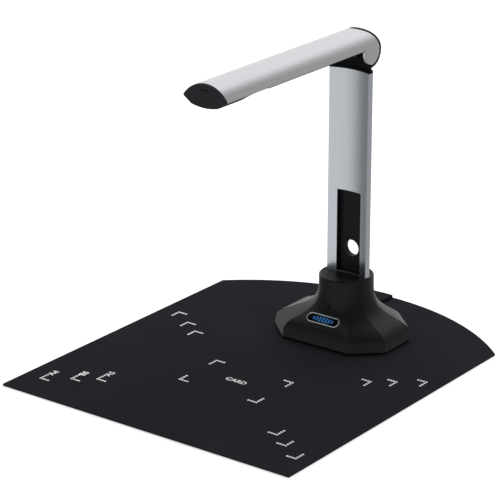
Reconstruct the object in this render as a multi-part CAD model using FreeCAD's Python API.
import FreeCAD, Part
import math
import os

# Folding document camera: a flat work mat, a weighted base with an upright extrusion, and an arm
# that carries the camera. The arm folds down against the front of the upright.
# Millimetres, +Z up, +Y from the user towards the upright. The origin is under the mat's middle.

V = FreeCAD.Vector

# Work mat: a rectangle with an arched rear edge
MAT_WIDTH = 332.0
MAT_LENGTH = 404.8
MAT_ARCH_RISE = 65.3
MAT_THICKNESS = 2.0

# Base: an eight-sided foot that sweeps up into a round collar
STAND_X = 16.7
COLLAR_Y = 99.0
COLLAR_RADIUS = 27.0
COLLAR_TOP = 63.5
COLLAR_EDGE = 1.1
COLLAR_WELL_RADIUS = 25.0
COLLAR_FLOOR = 62.3
COLLAR_FLOOR_THICKNESS = 3.0
BASE_HALF_WIDTH = 66.0
BASE_FRONT = 46.4
BASE_REAR = 140.0
FACET_HALF_WIDTH = 39.0
FACET_CUT_BACK = 24.6
WALL = 2.2
# Height of each level of the base and how much of the eight-sided outline is left in it
BASE_LEVELS = [(4.4, 1.0), (9.0, 0.99), (12.5, 0.975), (15.5, 0.94), (18.5, 0.86), (22.0, 0.70),
               (25.5, 0.50), (29.0, 0.33), (33.0, 0.19), (38.0, 0.085), (44.0, 0.025), (50.0, 0.004),
               (55.0, 0.0)]
PLATE_BOTTOM = 4.6
PLATE_TOP = 7.0
BALLAST_TOP = 13.2
BADGE_HEIGHT = 26.0
BADGE_LENGTH = 37.6
BADGE_WIDTH = 10.6
BADGE_RIM = 0.9
SLOT_HEIGHT = 36.0
SLOT_HALF_LENGTH = 2.6
SLOT_HALF_WIDTH = 1.0
SLOT_RECESS = 1.0
FOOT_SCREW_X = (-12.0, 12.0)
FOOT_SCREW_Z = 25.0
SCREW_POSTS = [(-46.0, 68.0), (46.0, 68.0), (-46.0, 117.0), (46.0, 117.0)]

# Upright: an aluminium extrusion with a hollow front and an arched back
TIP_Y = 98.1
COLUMN_HALF_WIDTH = 23.4
TIP_HALF_WIDTH = 22.7
HOLLOW_DEPTH = 4.8
BEVEL_LENGTH = 2.8
SIDE_LENGTH = 6.4
BACK_RISE = 8.4
COLUMN_WALL = 1.6
COLUMN_BOTTOM = 17.8
COLUMN_TOP = 269.7
WINDOW_HALF_WIDTH = 13.8
WINDOW_BOTTOM = 63.0
WINDOW_TOP = 147.2
LINER_FLOOR_Y = 106.8
LINER_WALL = 1.1
SIGHT_HOLE_Z = 87.2
SIGHT_HOLE_RADIUS = 8.35

# Hinge between the upright and the arm, along X
PIVOT_Y = 101.3
PIVOT_Z = 291.3
SHAFT_RADIUS = 2.5
BUSH_RADIUS = 3.6
WASHER_RADIUS = 4.2
RUNNING_GAP = 0.05
KNUCKLE_HALF_WIDTH = 21.5
KNUCKLE_RADIUS = 4.6
DRUM_RADIUS = 9.0
DRUM_HALF_WIDTH = 12.0
CAP_THICKNESS = 2.5
NECK_TOP = 284.0
NECK_INSET = 1.2

# Arm, measured from the hinge: across (x), towards the head (reach) and upwards (rise)
ARM_REACH = 226.8
SHELL_REACH = 225.3
SHELL_HALF_WIDTH = 24.15
SHELL_EDGE_RISE = 3.2
SHELL_SPRING_RISE = 4.7
SHELL_ARCH_RISE = 12.8
SHELL_WALL = 1.5
CHEEK_RADIUS = 12.3
CHEEK_INSIDE = 22.05
SILVER_END_RADIUS = 18.2
REAR_SIDE_RADIUS = 15.2
REAR_MIDDLE_RADIUS = 21.0
END_FULLNESS = 4
COVER_START = 13.0
HOUSING_START = 163.0
BELLY_START = 192.0
HOUSING_END = 223.3
COVER_HALF_WIDTH = 23.8
COVER_LIP = 0.9
COVER_SAG = 2.4
BELLY_HALF_WIDTH = 15.0
BELLY_RISE = -5.0
BELLY_BOW = 2.0
CAP_INSET = 0.45
TRAY_WALL = 1.5
LENS_REACH = 201.0
LAMP_OFFSET = 11.0
BUTTON_X = -1.2
BUTTON_RISE = 10.6
BUTTON_LENGTH = 7.0
BUTTON_HEIGHT = 2.6

FAR = 400.0


def box(x0, x1, y0, y1, z0, z1):
    """Box between two corners, with X counted from the stand's middle plane."""
    return Part.makeBox(x1 - x0, y1 - y0, z1 - z0, V(STAND_X + x0, y0, z0))


def cylinder(x, y, z, radius, length, axis):
    return Part.makeCylinder(radius, length, V(STAND_X + x, y, z), V(*axis))


def arc(a, b, c):
    return Part.Arc(V(*a), V(*b), V(*c)).toShape()


def line(a, b):
    return Part.makeLine(V(*a), V(*b))


def face(edges):
    return Part.Face(Part.Wire(Part.__sortEdges__(edges)))


def polygon(points):
    return Part.Face(Part.makePolygon([V(*p) for p in points + points[:1]]))


def join(shapes):
    result = shapes[0]
    for shape in shapes[1:]:
        result = result.fuse(shape)
    return result.removeSplitter()


def cut_all(shape, tools):
    for tool in tools:
        shape = shape.cut(tool)
    return shape


def sagitta_radius(half_chord, rise):
    return (half_chord ** 2 + rise ** 2) / (2 * rise)


# ---------------------------------------------------------------- mat

def mat():
    half = MAT_WIDTH / 2
    front = -MAT_LENGTH / 2
    shoulder = MAT_LENGTH / 2 - MAT_ARCH_RISE
    outline = [line((half, shoulder, 0), (half, front, 0)),
               line((half, front, 0), (-half, front, 0)),
               line((-half, front, 0), (-half, shoulder, 0)),
               arc((-half, shoulder, 0), (0, MAT_LENGTH / 2, 0), (half, shoulder, 0))]
    return face(outline).extrude(V(0, 0, MAT_THICKNESS))


def mat_rear_tab():
    """Low block on the mat's rear edge that stiffens it behind the base."""
    width, front, height, right_end, margin = 56.0, 181.0, 4.0, 5.0, 2.0
    rear_radius = sagitta_radius(MAT_WIDTH / 2, MAT_ARCH_RISE) - margin
    block = Part.makeBox(width, MAT_LENGTH / 2 - front, height, V(right_end - width, front, MAT_THICKNESS))
    centre = V(0, MAT_LENGTH / 2 - margin - rear_radius, 0)
    block = block.common(Part.makeCylinder(rear_radius, 20, centre))
    return block.makeChamfer(0.8, [e for e in block.Edges if e.BoundBox.ZMin > MAT_THICKNESS + height - 0.1])


# ---------------------------------------------------------------- base

def outline_share(height):
    """Share of the eight-sided outline at a height, straight between the levels."""
    for (z0, s0), (z1, s1) in zip(BASE_LEVELS, BASE_LEVELS[1:]):
        if height <= z1:
            return s0 + (s1 - s0) * max(height - z0, 0) / (z1 - z0)
    return 0.0


def octagon(inset):
    """Corners of the base's outline, counted round from the left end of the front facet."""
    facet = FACET_HALF_WIDTH - 0.45 * inset
    side = BASE_HALF_WIDTH - inset
    front, rear = BASE_FRONT + inset, BASE_REAR - inset
    cut = FACET_CUT_BACK - 0.3 * inset
    return [(-facet, front), (facet, front), (side, front + cut), (side, rear - cut),
            (facet, rear), (-facet, rear), (-side, rear - cut), (-side, front + cut)]


def base_section(height, share, inset):
    """Closed wire between the eight-sided outline and the collar's circle."""
    corners = octagon(inset)
    radius = COLLAR_RADIUS - inset
    steps = 6
    edges = []
    for i in range(8):
        (xa, ya), (xb, yb) = corners[i], corners[(i + 1) % 8]
        points = []
        for k in range(steps + 1):
            x = xa + (xb - xa) * k / steps
            y = ya + (yb - ya) * k / steps
            angle = math.atan2(y - COLLAR_Y, x)
            cx = radius * math.cos(angle)
            cy = COLLAR_Y + radius * math.sin(angle)
            points.append(V(STAND_X + cx + (x - cx) * share, cy + (y - cy) * share, height))
        curve = Part.BSplineCurve()
        curve.interpolate(points)
        edges.append(curve.toShape())
    return Part.Wire(edges)


def base_body(inset, drop):
    """Sweep up to the collar's foot, and the collar; drop lowers the sweep for the inner surface."""
    sections = [base_section(z - (drop if share < 0.99 else 0), share, inset) for z, share in BASE_LEVELS]
    foot = sections[-1].BoundBox.ZMax
    collar = Part.Face(sections[-1]).extrude(V(0, 0, COLLAR_TOP - foot))
    return Part.makeLoft(sections, True, False).fuse(collar)


def front_frame(height):
    """Point on the middle of the front facet at a height, with its normal and its upward slope."""
    half_step = 2.5
    depth = COLLAR_Y - COLLAR_RADIUS - BASE_FRONT

    def front_y(z):
        return COLLAR_Y - COLLAR_RADIUS - depth * outline_share(z)

    up = V(0, front_y(height + half_step) - front_y(height - half_step), 2 * half_step).normalize()
    normal = V(1, 0, 0).cross(up).normalize()
    return V(STAND_X, front_y(height), height), normal, up


def pill(length, width, start, depth):
    """Pill-shaped prism on the front facet, from start above the surface and depth deep."""
    middle, normal, up = front_frame(BADGE_HEIGHT)
    radius = width / 2
    straight = length / 2 - radius
    right = V(1, 0, 0)
    a = middle + right * straight
    b = middle - right * straight
    edges = [Part.makeLine(a + up * radius, b + up * radius),
             Part.Arc(b + up * radius, b - right * radius, b - up * radius).toShape(),
             Part.makeLine(b - up * radius, a - up * radius),
             Part.Arc(a - up * radius, a + right * radius, a + up * radius).toShape()]
    shape = face(edges)
    shape.translate(normal * start)
    return shape.extrude(normal * -depth)


def status_slot(grow, start, depth):
    """Small leaning slot above the badge, for the status light."""
    middle, normal, up = front_frame(SLOT_HEIGHT)
    lean = (V(1, 0, 0) * 0.3 + up).normalize()
    side = normal.cross(lean)
    centre = middle + normal * start
    half_long, half_wide = SLOT_HALF_LENGTH + grow, SLOT_HALF_WIDTH + grow
    corners = [centre + lean * a * half_long + side * b * half_wide
               for a, b in ((1, 1), (-1, 1), (-1, -1), (1, -1), (1, 1))]
    return Part.Face(Part.makePolygon(corners)).extrude(normal * -depth)


def usb_opening(grow):
    return box(-3.9 - grow, 3.9 + grow, 129.0, 141.0, 10.4 - grow, 14.6 + grow)


def collar_edge_tool():
    """Ring that takes the sharp outer edge off the collar's rim."""
    height = COLLAR_EDGE + 0.1
    ring = cylinder(0, COLLAR_Y, COLLAR_TOP - height, COLLAR_RADIUS + 3, 2 * height, (0, 0, 1))
    cone = Part.makeCone(COLLAR_RADIUS + 0.1, COLLAR_RADIUS + 0.1 - 2 * height, 2 * height,
                         V(STAND_X, COLLAR_Y, COLLAR_TOP - height), V(0, 0, 1))
    return ring.cut(cone)


def base_shell():
    floor_seat = COLLAR_FLOOR - COLLAR_FLOOR_THICKNESS
    well = cylinder(0, COLLAR_Y, floor_seat, COLLAR_WELL_RADIUS, 20, (0, 0, 1))
    shell = base_body(0, 0).cut(base_body(WALL, 1.5))
    roof = base_body(WALL / 2, 0.7)
    posts = [cylinder(x, y, PLATE_TOP + 0.1, 3.6, 30, (0, 0, 1)).common(roof) for x, y in SCREW_POSTS]
    badge_seat = pill(BADGE_LENGTH + 0.2, BADGE_WIDTH + 0.2, 8, 9.6)
    shell = cut_all(join([shell] + posts),
                    [well, collar_edge_tool(), badge_seat, status_slot(0.05, 8, 14), usb_opening(0.1)])
    return cut_all(shell, [cylinder(x, y, PLATE_TOP, 1.25, 8.0, (0, 0, 1)) for x, y in SCREW_POSTS])


def base_bottom_plate():
    corners = [(STAND_X + x, y, PLATE_BOTTOM) for x, y in octagon(WALL + 0.4)]
    plate = polygon(corners).extrude(V(0, 0, PLATE_TOP - PLATE_BOTTOM))
    for x, y in SCREW_POSTS:
        plate = plate.cut(cylinder(x, y, 0, 1.6, 10, (0, 0, 1)))
        plate = plate.cut(cylinder(x, y, 0, 2.8, PLATE_BOTTOM + 1.2, (0, 0, 1)))
    return plate


def rubber_feet():
    spots = [(-50, 84), (50, 84), (0, 58), (0, 128)]
    return Part.makeCompound([cylinder(x, y, MAT_THICKNESS, 7.0, PLATE_BOTTOM - MAT_THICKNESS, (0, 0, 1))
                              for x, y in spots])


def base_screws():
    screws = []
    for x, y in SCREW_POSTS:
        head = cylinder(x, y, PLATE_BOTTOM + 0.1, 2.7, 1.05, (0, 0, 1))
        shank = cylinder(x, y, PLATE_BOTTOM + 0.1, 1.2, 9.0, (0, 0, 1))
        socket = cylinder(x, y, PLATE_BOTTOM, 0.9, 0.8, (0, 0, 1))
        screws.append(head.fuse(shank).cut(socket))
    return Part.makeCompound(screws)


def ballast_plate():
    return box(-38, 38, 55, 117.5, PLATE_TOP + 0.1, BALLAST_TOP)


def column_foot():
    """Clamp block that the upright stands in, on the ballast."""
    block = box(-24.5, 24.5, 93.0, 117.0, BALLAST_TOP + 0.1, 31.5)
    return cut_all(block, [column_solid(0, COLUMN_BOTTOM, 60)] + foot_screw_holes())


def foot_screw_holes():
    return [cylinder(x, 107.0, FOOT_SCREW_Z, 1.5, 12.0, (0, 1, 0)) for x in FOOT_SCREW_X]


def foot_screws():
    """Two screws through the clamp block's back into the upright."""
    screws = []
    for x in FOOT_SCREW_X:
        head = cylinder(x, 117.0, FOOT_SCREW_Z, 2.7, 1.8, (0, 1, 0))
        shank = cylinder(x, 110.5, FOOT_SCREW_Z, 1.45, 6.6, (0, 1, 0))
        screws.append(head.fuse(shank))
    return Part.makeCompound(screws)


def collar_floor():
    disc = cylinder(0, COLLAR_Y, COLLAR_FLOOR - COLLAR_FLOOR_THICKNESS, COLLAR_WELL_RADIUS - 0.05,
                    COLLAR_FLOOR_THICKNESS, (0, 0, 1))
    return disc.cut(column_solid(-0.1, 0, FAR))


def interface_board():
    return box(-15, 15, 119.5, 136.0, 8.8, 10.3)


def board_spacers():
    return Part.makeCompound([cylinder(x, 127.0, PLATE_TOP, 2.0, 1.8, (0, 0, 1)) for x in (-11.0, 11.0)])


def usb_socket():
    body = box(-3.85, 3.85, 130.5, 139.4, 10.4, 14.5)
    return body.cut(box(-3.35, 3.35, 131.5, 140.0, 10.9, 14.0))


def usb_tongue():
    return box(-2.4, 2.4, 131.5, 138.4, 12.0, 12.9)


def badge_bezel():
    ring = pill(BADGE_LENGTH, BADGE_WIDTH, 0.6, 1.9)
    ring = ring.cut(pill(BADGE_LENGTH - 2 * BADGE_RIM, BADGE_WIDTH - 2 * BADGE_RIM, 2.0, 6.0))
    middle, normal, _ = front_frame(BADGE_HEIGHT)
    top = [e for e in ring.Edges if abs((e.CenterOfMass - middle).dot(normal) - 0.6) < 0.05]
    return ring.makeFillet(0.3, top)


def badge_plate():
    return pill(BADGE_LENGTH - 2 * BADGE_RIM - 0.2, BADGE_WIDTH - 2 * BADGE_RIM - 0.2, 0.1, 1.4)


def status_light():
    return status_slot(0, -SLOT_RECESS, 1.2)


# ---------------------------------------------------------------- upright

def column_solid(inset, z0, z1):
    """The upright's section as a solid bar; a positive inset gives the inside of its wall."""
    front_radius = sagitta_radius(TIP_HALF_WIDTH, HOLLOW_DEPTH)
    front_centre = TIP_Y + HOLLOW_DEPTH - front_radius
    side_end = TIP_Y + SIDE_LENGTH
    back_radius = sagitta_radius(COLUMN_HALF_WIDTH, BACK_RISE)
    back_centre = side_end + BACK_RISE - back_radius
    tip = TIP_HALF_WIDTH if inset <= 0 else COLUMN_HALF_WIDTH - inset
    side = COLUMN_HALF_WIDTH - inset

    def front_y(x):
        return front_centre + math.sqrt((front_radius + inset) ** 2 - x ** 2)

    def back_y(x):
        return back_centre + math.sqrt((back_radius - inset) ** 2 - x ** 2)

    x = STAND_X
    tip_y = front_y(tip)
    edges = [arc((x - tip, tip_y, z0), (x, front_y(0), z0), (x + tip, tip_y, z0)),
             arc((x - side, back_y(side), z0), (x, back_y(0), z0), (x + side, back_y(side), z0))]
    for sign in (-1, 1):
        start = (x + sign * tip, tip_y, z0)
        bevel = (x + sign * side, TIP_Y + BEVEL_LENGTH, z0)
        end = (x + sign * side, back_y(side), z0)
        edges += [line(start, bevel), line(bevel, end)] if inset <= 0 else [line(start, end)]
    return face(edges).extrude(V(0, 0, z1 - z0))


def column_shell():
    tube = column_solid(0, COLUMN_BOTTOM, COLUMN_TOP).cut(column_solid(COLUMN_WALL, 0, FAR))
    window = box(-WINDOW_HALF_WIDTH, WINDOW_HALF_WIDTH, 90, 104.9, WINDOW_BOTTOM, WINDOW_TOP)
    rear_hole = cylinder(0, 100, SIGHT_HOLE_Z, SIGHT_HOLE_RADIUS + LINER_WALL + 0.1, 30, (0, 1, 0))
    for tool in [window, rear_hole] + foot_screw_holes():
        tube = tube.cut(tool)
    return tube


def column_liner():
    """Black tray behind the window, with the sight hole's tube out through the back."""
    half = WINDOW_HALF_WIDTH + LINER_WALL
    low, high = WINDOW_BOTTOM - LINER_WALL, WINDOW_TOP + LINER_WALL
    block = box(-half, half, 90, LINER_FLOOR_Y + LINER_WALL, low, high)
    block = block.common(column_solid(COLUMN_WALL + 0.05, 0, FAR))
    pocket = box(-WINDOW_HALF_WIDTH, WINDOW_HALF_WIDTH, 90, LINER_FLOOR_Y, WINDOW_BOTTOM, WINDOW_TOP)
    back = TIP_Y + SIDE_LENGTH + BACK_RISE
    tube = cylinder(0, LINER_FLOOR_Y, SIGHT_HOLE_Z, SIGHT_HOLE_RADIUS + LINER_WALL,
                    back + 0.2 - LINER_FLOOR_Y, (0, 1, 0))
    bore = cylinder(0, 90, SIGHT_HOLE_Z, SIGHT_HOLE_RADIUS, 40, (0, 1, 0))
    return block.cut(pocket).fuse(tube).cut(bore)


def column_cable():
    """Flat ribbon that runs up the upright's inside, beside the sight hole."""
    return box(15.4, 20.2, 103.3, 103.8, 65.0, COLUMN_TOP - 22)


# ---------------------------------------------------------------- hinge

def hinge_knuckle():
    cap = column_solid(0, COLUMN_TOP, COLUMN_TOP + CAP_THICKNESS)
    plug = column_solid(COLUMN_WALL + 0.05, COLUMN_TOP - 14, COLUMN_TOP)
    width = KNUCKLE_HALF_WIDTH
    neck = column_solid(NECK_INSET, COLUMN_TOP + CAP_THICKNESS, NECK_TOP)
    neck = neck.common(box(-width, width, 0, FAR, 0, FAR))
    upright = box(-width, width, PIVOT_Y - KNUCKLE_RADIUS, PIVOT_Y + KNUCKLE_RADIUS, NECK_TOP - 3, PIVOT_Z)
    barrel = cylinder(-width, PIVOT_Y, PIVOT_Z, KNUCKLE_RADIUS, 2 * width, (1, 0, 0))
    drum = cylinder(-DRUM_HALF_WIDTH, PIVOT_Y, PIVOT_Z, DRUM_RADIUS, 2 * DRUM_HALF_WIDTH, (1, 0, 0))
    body = join([cap, plug, neck, upright, barrel, drum])
    body = body.cut(cylinder(-40, PIVOT_Y, PIVOT_Z, SHAFT_RADIUS + 0.3, 80, (1, 0, 0)))
    for sign in (-1, 1):
        seat = cylinder(sign * DRUM_HALF_WIDTH, PIVOT_Y, PIVOT_Z, BUSH_RADIUS + 0.01, 20, (sign, 0, 0))
        body = body.cut(seat)
    return body.cut(box(5, 15, 106.0, 109.0, COLUMN_TOP - 20, COLUMN_TOP + 20))


def hinge_bushes():
    length = KNUCKLE_HALF_WIDTH - DRUM_HALF_WIDTH
    bushes = []
    for sign in (-1, 1):
        start = sign * DRUM_HALF_WIDTH
        bush = cylinder(start, PIVOT_Y, PIVOT_Z, BUSH_RADIUS, length, (sign, 0, 0))
        bore = cylinder(start, PIVOT_Y, PIVOT_Z, SHAFT_RADIUS + RUNNING_GAP, length, (sign, 0, 0))
        bushes.append(bush.cut(bore))
    return Part.makeCompound(bushes)


def friction_washers():
    washers = []
    for sign in (-1, 1):
        start = sign * (KNUCKLE_HALF_WIDTH + 0.02)
        disc = cylinder(start, PIVOT_Y, PIVOT_Z, WASHER_RADIUS, 0.5, (sign, 0, 0))
        bore = cylinder(start, PIVOT_Y, PIVOT_Z, SHAFT_RADIUS + RUNNING_GAP, 1, (sign, 0, 0))
        washers.append(disc.cut(bore))
    return Part.makeCompound(washers)


def hinge_shaft():
    half = CHEEK_INSIDE + 1.0
    return cylinder(-half, PIVOT_Y, PIVOT_Z, SHAFT_RADIUS, 2 * half, (1, 0, 0))


# ---------------------------------------------------------------- arm

def arm_point(x, reach, rise):
    return (STAND_X + x, PIVOT_Y - reach, PIVOT_Z + rise)


def arm_prism(section, reach):
    """Sweep a face that stands across the arm by a distance towards the head."""
    return section.extrude(V(0, -reach, 0))


def arm_box(x0, x1, r0, r1, h0, h1):
    return box(x0, x1, PIVOT_Y - r1, PIVOT_Y - r0, PIVOT_Z + h0, PIVOT_Z + h1)


def under_arch(offset, reach, floor):
    """Face inside the arm's arched top, offset inwards, down to a floor between upright sides."""
    half = SHELL_HALF_WIDTH - offset
    radius = sagitta_radius(SHELL_HALF_WIDTH, SHELL_ARCH_RISE)
    centre = SHELL_SPRING_RISE + SHELL_ARCH_RISE - radius
    top = radius - offset
    spring = centre + math.sqrt(top ** 2 - half ** 2)
    corners = [arm_point(-half, reach, spring), arm_point(-half, reach, floor),
               arm_point(half, reach, floor), arm_point(half, reach, spring)]
    arch = arc(corners[0], arm_point(0, reach, centre + top), corners[3])
    return face([arch] + [line(a, b) for a, b in zip(corners, corners[1:])])


def end_barrel(side_radius, middle_radius):
    """Solid of revolution about the hinge, full across the middle and rounded down at both sides."""
    half = SHELL_HALF_WIDTH
    x, y, z = STAND_X, PIVOT_Y, PIVOT_Z
    steps = 12
    rim = []
    for i in range(steps + 1):
        share = 2 * i / steps - 1
        radius = side_radius + (middle_radius - side_radius) * (1 - share ** END_FULLNESS)
        rim.append(V(x + half * share, y, z + radius))
    profile = Part.BSplineCurve()
    profile.interpolate(rim)
    edges = [profile.toShape(),
             line((x + half, y, z + side_radius), (x + half, y, z)),
             line((x + half, y, z), (x - half, y, z)),
             line((x - half, y, z), (x - half, y, z + side_radius))]
    return face(edges).revolve(V(x, y, z), V(1, 0, 0), 360)


def sector(first, last, x0, x1):
    """Wedge about the hinge; angles from straight up towards the rear, in degrees."""
    steps = 6
    rays = [math.radians(first + (last - first) * i / steps) for i in range(steps + 1)]
    points = [(STAND_X + x0, PIVOT_Y, PIVOT_Z)]
    points += [(STAND_X + x0, PIVOT_Y + 50 * math.sin(a), PIVOT_Z + 50 * math.cos(a)) for a in rays]
    return polygon(points).extrude(V(x1 - x0, 0, 0))


def arm_envelope():
    return arm_prism(under_arch(0, -30, -60), 30 + SHELL_REACH)


def cheek(sign):
    disc = cylinder(sign * CHEEK_INSIDE, PIVOT_Y, PIVOT_Z, CHEEK_RADIUS,
                    SHELL_HALF_WIDTH - CHEEK_INSIDE, (sign, 0, 0))
    blind_hole = cylinder(sign * (CHEEK_INSIDE - 1), PIVOT_Y, PIVOT_Z, SHAFT_RADIUS + 0.02, 2.1, (sign, 0, 0))
    return disc.common(arm_envelope()).cut(blind_hole)


def arm_shell():
    top = arm_prism(under_arch(0, -30, SHELL_EDGE_RISE), 30 + SHELL_REACH)
    top = top.cut(arm_prism(under_arch(SHELL_WALL, -31, SHELL_EDGE_RISE), 40 + SHELL_REACH))
    front = arm_box(-30, 30, 0, 300, -60, 60)
    top = top.common(front.fuse(end_barrel(CHEEK_RADIUS, SILVER_END_RADIUS)))
    return join([top, cheek(-1), cheek(1)])


def arm_rear_cover():
    skin = end_barrel(REAR_SIDE_RADIUS, REAR_MIDDLE_RADIUS)
    skin = skin.cut(end_barrel(CHEEK_RADIUS + 0.1, REAR_MIDDLE_RADIUS - 2.2))
    half = SHELL_HALF_WIDTH + 1
    rim = KNUCKLE_HALF_WIDTH + 0.4
    wedge = sector(8, 126, -half, half).fuse([sector(8, 185, -half, -rim), sector(8, 185, rim, half)])
    return skin.common(arm_envelope()).common(wedge).cut(arm_shell())


def cover_section(reach):
    """Shallow bowed underside of the arm: flat on top, arched below."""
    half = COVER_HALF_WIDTH
    top = SHELL_EDGE_RISE - 0.05
    lip = SHELL_EDGE_RISE - COVER_LIP
    points = [arm_point(-half + 0.3, reach, lip), arm_point(-half, reach, top),
              arm_point(half, reach, top), arm_point(half - 0.3, reach, lip)]
    bow = arc(points[0], arm_point(0, reach, lip - COVER_SAG), points[3])
    return face([bow] + [line(a, b) for a, b in zip(points, points[1:])])


def cover_screw_spots():
    return [34.0, 92.0, 150.0]


def arm_bottom_cover():
    cover = arm_prism(cover_section(COVER_START), HOUSING_START - COVER_START)
    for reach in cover_screw_spots():
        x, y, z = arm_point(0, reach, 0)
        cover = cover.cut(Part.makeCylinder(1.4, 12, V(x, y, z - 4)))
        cover = cover.cut(Part.makeCylinder(2.5, 2.6, V(x, y, z)))
    return cover


def arm_screws():
    screws = []
    for reach in cover_screw_spots():
        x, y, z = arm_point(0, reach, 1.4)
        head = Part.makeCylinder(2.3, 1.15, V(x, y, z))
        shank = Part.makeCylinder(1.1, 6.5, V(x, y, z))
        socket = Part.makeCylinder(0.8, 0.7, V(x, y, z))
        screws.append(head.fuse(shank).cut(socket))
    return Part.makeCompound(screws)


def arm_carrier():
    """Plastic spine bonded under the arch: the ribbon runs in it and the cover screws into it."""
    rib = arm_prism(under_arch(SHELL_WALL + 0.05, 28, SHELL_EDGE_RISE), 132)
    rib = rib.common(arm_box(-7, 7, 28, 160, 0, 30))
    rib = rib.cut(arm_box(-5, 5, 20, 170, 9.0, 11.5))
    for reach in cover_screw_spots():
        x, y, z = arm_point(0, reach, 0)
        rib = rib.cut(Part.makeCylinder(1.15, 8.6, V(x, y, z)))
    return rib


def arm_cable():
    return arm_box(-4, 4, 14, 184, 9.6, 10.1)


def belly_section(reach, lowest, inset):
    """Closed wire of the underside: sloping sides, and a bowed bottom that is flatter where shallow."""
    half = COVER_HALF_WIDTH - inset
    low = BELLY_HALF_WIDTH - 0.4 * inset
    top = SHELL_EDGE_RISE - 0.05
    bow = BELLY_BOW * (top - lowest) / (top - BELLY_RISE)
    corner = lowest + bow + inset
    left, right = arm_point(-low, reach, corner), arm_point(low, reach, corner)
    upper_left, upper_right = arm_point(-half, reach, top), arm_point(half, reach, top)
    return Part.Wire([line(upper_left, upper_right), line(upper_right, right),
                      arc(right, arm_point(0, reach, lowest + inset), left), line(left, upper_left)])


def belly_solid(inset, start, end):
    """Ramp from the flat underside to the full belly, then straight to the end."""
    shallow = SHELL_EDGE_RISE - COVER_LIP - COVER_SAG
    deep = belly_section(BELLY_START, BELLY_RISE, inset)
    ramp = Part.makeLoft([belly_section(start, shallow, inset), deep], True, True)
    full = Part.Face(deep).extrude(V(0, BELLY_START - end, 0))
    return ramp.fuse(full).removeSplitter()


def camera_housing():
    body = belly_solid(0, HOUSING_START, HOUSING_END)
    inside = belly_solid(TRAY_WALL, HOUSING_START + 4, HOUSING_END + 2)
    lid = arm_box(-20, 20, HOUSING_START + 4, HOUSING_END + 2, SHELL_EDGE_RISE - 0.2, SHELL_EDGE_RISE + 5)
    body = body.cut(inside).cut(lid)
    x, y, z = arm_point(0, LENS_REACH, BELLY_RISE - 2)
    body = body.cut(Part.makeCylinder(6.2, 6, V(x, y, z)))
    for sign in (-1, 1):
        centre = LENS_REACH + sign * LAMP_OFFSET
        body = body.cut(arm_box(-5.05, 5.05, centre - 2.55, centre + 2.55, BELLY_RISE - 2, 0))
    return body


def head_end_cap():
    """Plug inside the shell's end, a flange that nearly fills the shell's outline, and the belly below."""
    floor = SHELL_EDGE_RISE - 0.05
    plug = arm_prism(under_arch(SHELL_WALL + 0.05, HOUSING_END, floor), ARM_REACH - HOUSING_END)
    flange = arm_prism(under_arch(CAP_INSET, SHELL_REACH, floor), ARM_REACH - SHELL_REACH)
    belly = Part.Face(belly_section(HOUSING_END, BELLY_RISE, 0)).extrude(V(0, HOUSING_END - ARM_REACH, 0))
    cap = join([plug, flange, belly])
    half_x, half_h = BUTTON_LENGTH / 2 + 0.2, BUTTON_HEIGHT / 2 + 0.2
    hole = arm_box(BUTTON_X - half_x, BUTTON_X + half_x, 200, 240, BUTTON_RISE - half_h, BUTTON_RISE + half_h)
    return cap.cut(hole)


def lamp_button():
    half_x, half_h = BUTTON_LENGTH / 2, BUTTON_HEIGHT / 2
    flange_face = HOUSING_END - 0.05
    stem = arm_box(BUTTON_X - half_x, BUTTON_X + half_x, flange_face - 0.6, ARM_REACH + 0.7,
                   BUTTON_RISE - half_h, BUTTON_RISE + half_h)
    stem = stem.makeFillet(0.25, [e for e in stem.Edges if e.BoundBox.YMax < PIVOT_Y - ARM_REACH])
    flange = arm_box(BUTTON_X - half_x - 1, BUTTON_X + half_x + 1, flange_face - 1.1, flange_face,
                     BUTTON_RISE - half_h - 1, BUTTON_RISE + half_h + 1)
    return stem.fuse(flange).removeSplitter()


def button_switch():
    face_reach = HOUSING_END - 2.7
    body = arm_box(BUTTON_X - 3, BUTTON_X + 3, face_reach - 2.4, face_reach, BUTTON_RISE - 2, BUTTON_RISE + 2)
    x, y, z = arm_point(BUTTON_X, face_reach, BUTTON_RISE)
    return body.fuse(Part.makeCylinder(1.2, 0.85, V(x, y, z), V(0, -1, 0)))


def button_board():
    return arm_box(-9, 9, HOUSING_END - 6.5, HOUSING_END - 5.1, 5.2, 13.4)


def camera_board():
    return arm_box(-13, 13, 184.5, 215.5, 2.4, 3.6)


def image_sensor():
    return arm_box(-4.5, 4.5, LENS_REACH - 4.5, LENS_REACH + 4.5, 1.5, 2.4)


def lens_tube(radius, bore, low, high):
    x, y, z = arm_point(0, LENS_REACH, low)
    tube = Part.makeCylinder(radius, high - low, V(x, y, z))
    return tube.cut(Part.makeCylinder(bore, high - low, V(x, y, z)))


def lens_ring():
    ring = lens_tube(6.1, 4.7, BELLY_RISE, BELLY_RISE + 1.6)
    lowest = PIVOT_Z + BELLY_RISE + 0.1
    inner = [e for e in ring.Edges if e.BoundBox.ZMax < lowest and abs(e.BoundBox.XLength - 9.4) < 0.1]
    return ring.makeChamfer(0.6, inner)


def lens_barrel():
    return lens_tube(4.6, 3.3, BELLY_RISE + 0.5, 1.4)


def lens_glass():
    """Front element: a disc with a shallow dome facing the page."""
    radius, rise, thickness = 3.25, 0.7, 1.2
    ball_radius = sagitta_radius(radius, rise)
    x, y, z = arm_point(0, LENS_REACH, BELLY_RISE + 0.6)
    disc = Part.makeCylinder(radius, rise + thickness, V(x, y, z))
    return disc.common(Part.makeSphere(ball_radius, V(x, y, z + ball_radius)))


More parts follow.
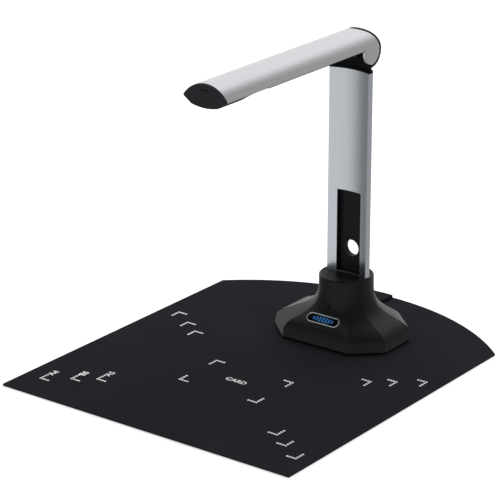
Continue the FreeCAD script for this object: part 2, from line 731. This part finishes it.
def lamp_windows():
    plates = []
    for sign in (-1, 1):
        centre = LENS_REACH + sign * LAMP_OFFSET
        plates.append(arm_box(-5, 5, centre - 2.5, centre + 2.5, BELLY_RISE + 0.05, BELLY_RISE + 1.5))
    return Part.makeCompound(plates)


def lamp_leds():
    leds = []
    for sign in (-1, 1):
        centre = LENS_REACH + sign * LAMP_OFFSET
        for x in (-2.6, 2.6):
            leds.append(arm_box(x - 1.4, x + 1.4, centre - 1.5, centre + 1.5, 1.7, 2.4))
    return Part.makeCompound(leds)


NODES = {
    "mat": mat,
    "mat_rear_tab": mat_rear_tab,
    "base_shell": base_shell,
    "base_bottom_plate": base_bottom_plate,
    "rubber_feet": rubber_feet,
    "base_screws": base_screws,
    "ballast_plate": ballast_plate,
    "column_foot": column_foot,
    "foot_screws": foot_screws,
    "collar_floor": collar_floor,
    "interface_board": interface_board,
    "board_spacers": board_spacers,
    "usb_socket": usb_socket,
    "usb_tongue": usb_tongue,
    "badge_bezel": badge_bezel,
    "badge_plate": badge_plate,
    "status_light": status_light,
    "column_shell": column_shell,
    "column_liner": column_liner,
    "column_cable": column_cable,
    "hinge_knuckle": hinge_knuckle,
    "hinge_bushes": hinge_bushes,
    "friction_washers": friction_washers,
    "hinge_shaft": hinge_shaft,
    "arm_shell": arm_shell,
    "arm_rear_cover": arm_rear_cover,
    "arm_bottom_cover": arm_bottom_cover,
    "arm_screws": arm_screws,
    "arm_carrier": arm_carrier,
    "arm_cable": arm_cable,
    "camera_housing": camera_housing,
    "head_end_cap": head_end_cap,
    "lamp_button": lamp_button,
    "button_switch": button_switch,
    "button_board": button_board,
    "camera_board": camera_board,
    "image_sensor": image_sensor,
    "lens_barrel": lens_barrel,
    "lens_glass": lens_glass,
    "lens_ring": lens_ring,
    "lamp_windows": lamp_windows,
    "lamp_leds": lamp_leds,
}


os.makedirs("parts", exist_ok=True)
for name, make in NODES.items():
    shape = make()
    count = len(shape.Solids)
    print(f"{name:20s} solids {count} volume {shape.Volume:10.1f} valid {shape.isValid()}")
    shape.exportStep(f"parts/{name}.step")
